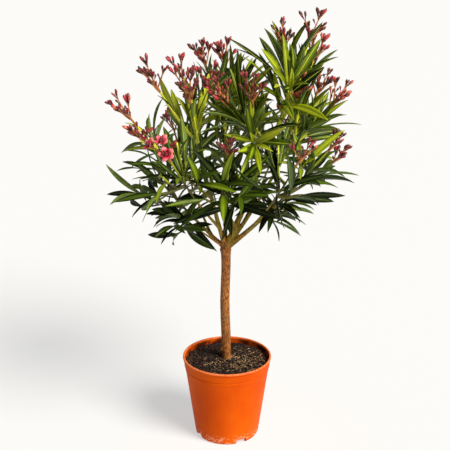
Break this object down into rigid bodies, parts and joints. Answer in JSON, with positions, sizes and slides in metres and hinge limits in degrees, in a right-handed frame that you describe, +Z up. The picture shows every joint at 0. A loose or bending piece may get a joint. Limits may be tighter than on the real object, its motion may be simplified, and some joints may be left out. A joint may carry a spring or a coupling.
{
  "type": "potted oleander standard",
  "caption": "Oleander grown as a standard: one bare stem under a round crown of slim leaves and flower buds, in a tapered nursery pot filled with compost.",
  "frame": {"origin": "centre of the pot's flat underside, on the ground", "axes": "+Z up along the stem, +X to the right and -Y to the viewer as the picture shows the plant"},
  "size_m": [0.6023, 0.584, 1.0594],
  "materials": {
    "pot": "orange moulded plastic, satin, with a worn pale lip",
    "soil": "dark fibrous compost",
    "bark": "brown bark with pale pores",
    "bough": "young olive-green bark",
    "foliage": "leathery dark green leaves, with coral red buds"
  },
  "bodies": {
    "root": {"pot": "pot", "soil": "soil", "trunk": "bark", "bough_left_tall": "bough", "bough_left_wide": "bough", "bough_left_low": "bough", "bough_centre": "bough", "bough_right_wide": "bough", "bough_right_tall": "bough", "bough_right_low": "bough", "bough_back": "bough", "bough_top_left": "bough", "bough_left_outer": "bough", "bough_front_left": "bough", "bough_front_high": "bough", "bough_front": "bough", "bough_front_right": "bough", "bough_back_left": "bough", "bough_back_right": "bough", "bough_back_low": "bough", "foliage_left_tall": "foliage", "foliage_left_wide": "foliage", "foliage_left_low": "foliage", "foliage_centre": "foliage", "foliage_right_wide": "foliage", "foliage_right_tall": "foliage", "foliage_right_low": "foliage", "foliage_back": "foliage", "foliage_top_left": "foliage", "foliage_left_outer": "foliage", "foliage_front_left": "foliage", "foliage_front_high": "foliage", "foliage_front": "foliage", "foliage_front_right": "foliage", "foliage_back_left": "foliage", "foliage_back_right": "foliage", "foliage_back_low": "foliage"}
  },
  "joints": []
}
